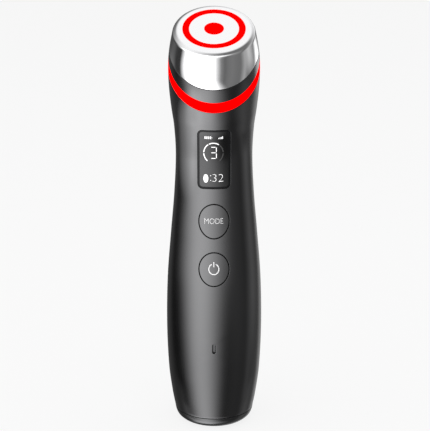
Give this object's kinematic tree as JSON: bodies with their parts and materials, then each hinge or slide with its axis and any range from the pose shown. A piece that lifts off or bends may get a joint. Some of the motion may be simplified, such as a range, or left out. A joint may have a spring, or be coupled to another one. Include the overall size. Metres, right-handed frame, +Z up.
{
  "type": "facial toning device",
  "caption": "Handheld facial toning device: waisted graphite grip, round metal treatment head leaning forwards with red light rings, display window and two press buttons.",
  "frame": {"origin": "centre of the charging inlet in the plane of the flat base", "axes": "+Z up along the grip, -Y towards the front with the display and buttons, +X across"},
  "size_m": [0.0414, 0.0564, 0.1837],
  "materials": {
    "graphite_paint": "satin metallic graphite paint on a moulded shell",
    "polished_metal": "polished electrode metal",
    "red_diffuser": "red light diffuser, lit",
    "smoked_window": "smoked glossy window",
    "screen": "black display glass",
    "white_plastic": "moulded nylon",
    "black_plastic": "moulded black plastic",
    "plunger_plastic": "switch pin plastic",
    "board": "green soldermask",
    "led": "moulded light",
    "flex": "polyimide film",
    "contact_gold": "gold plated",
    "steel": "plated steel",
    "silicone": "soft silicone",
    "ferrite": "ferrite",
    "copper": "enamelled copper wire",
    "capacitor_can": "drawn can",
    "battery_can": "shrink wrapped cell",
    "red_wire": "insulated wire",
    "white_wire": "insulated wire",
    "smoked_pipe": "smoked light pipe"
  },
  "bodies": {
    "housing": {"body_shell": "graphite_paint", "head_collar": "graphite_paint", "bottom_cap": "graphite_paint", "outer_electrode": "polished_metal", "inner_electrode": "polished_metal", "neck_light_ring": "red_diffuser", "face_ring_lens": "red_diffuser", "centre_lens": "red_diffuser", "display_window": "smoked_window", "display_module": "screen", "inner_frame": "white_plastic", "electrode_carrier": "white_plastic", "neck_sleeve": "black_plastic", "display_holder": "black_plastic", "button_guide": "black_plastic", "mode_switch": "black_plastic", "power_switch": "black_plastic", "processor": "black_plastic", "buzzer": "black_plastic", "port_tongue": "black_plastic", "main_board": "board", "face_light_board": "board", "charge_board": "board", "face_leds": "led", "neck_leds": "led", "indicator_led": "led", "neck_led_strip": "flex", "display_flex": "flex", "contact_pins": "contact_gold", "head_screws": "steel", "board_screws": "steel", "cap_screws": "steel", "motor_case": "steel", "charge_port": "steel", "battery_tabs": "steel", "button_gaskets": "silicone", "cap_seal": "silicone", "motor_boot": "silicone", "battery_pads": "silicone", "transformer_core": "ferrite", "transformer_coil": "copper", "storage_capacitors": "capacitor_can", "battery_cell": "battery_can", "battery_leads": "red_wire", "charge_leads": "red_wire", "head_harness": "white_wire", "indicator_light_pipe": "smoked_pipe"},
    "mode_key": {"mode_button": "graphite_paint", "mode_plunger": "plunger_plastic"},
    "power_key": {"power_button": "graphite_paint", "power_plunger": "plunger_plastic"},
    "rotor": {"motor_shaft": "steel", "eccentric_weight": "steel"}
  },
  "joints": [
    {"name": "mode_press", "type": "slide", "parent": "housing", "child": "mode_key", "axis": [0, 1, 0], "range_m": [0, 0.0004], "stiffness_N_per_m": 900, "springref_m": -0.0006},
    {"name": "power_press", "type": "slide", "parent": "housing", "child": "power_key", "axis": [0, 1, 0], "range_m": [0, 0.0004], "stiffness_N_per_m": 900, "springref_m": -0.0006},
    {"name": "motor_spin", "type": "hinge", "parent": "housing", "child": "rotor", "pos_m": [0, -0.0003, 0.134], "axis": [0, 0, 1], "continuous": true}
  ]
}
